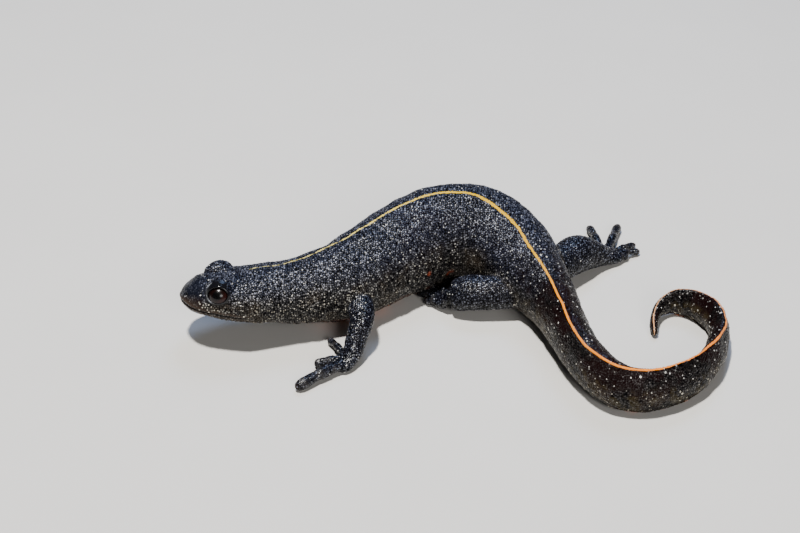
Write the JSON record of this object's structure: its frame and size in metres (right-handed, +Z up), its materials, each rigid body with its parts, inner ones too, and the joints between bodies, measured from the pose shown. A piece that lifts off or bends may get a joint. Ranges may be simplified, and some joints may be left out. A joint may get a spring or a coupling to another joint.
{
  "type": "italian crested newt",
  "caption": "Black crested newt at rest on its belly, trunk bent and tail curled in a hook: a still, life-size museum model that stands on a shelf or case floor.",
  "frame": {"origin": "on the floor under the middle of the whole animal's bounding box", "axes": "+X from the head's side towards the tail's side, +Y away from the viewer of the picture, +Z up from the floor it rests on"},
  "size_m": [0.0686, 0.04, 0.0121],
  "materials": {
    "skin": "matt black granular skin with pale stipples and a yellow line along the back",
    "eye": "wet gloss, dark red-brown iris with a black pupil"
  },
  "bodies": {
    "root": {"head": "skin", "lower_jaw": "skin", "eye_left": "eye", "eye_right": "eye", "neck": "skin", "trunk_front": "skin", "trunk_middle": "skin", "trunk_rear": "skin", "pelvis": "skin", "tail_base": "skin", "tail_front": "skin", "tail_bend": "skin", "tail_rear": "skin", "tail_hook": "skin", "tail_end": "skin", "tail_tip": "skin", "upper_arm_left": "skin", "forearm_left": "skin", "hand_left": "skin", "upper_arm_right": "skin", "forearm_right": "skin", "hand_right": "skin", "thigh_left": "skin", "shank_left": "skin", "foot_left": "skin", "thigh_right": "skin", "shank_right": "skin", "foot_right": "skin"}
  },
  "joints": []
}
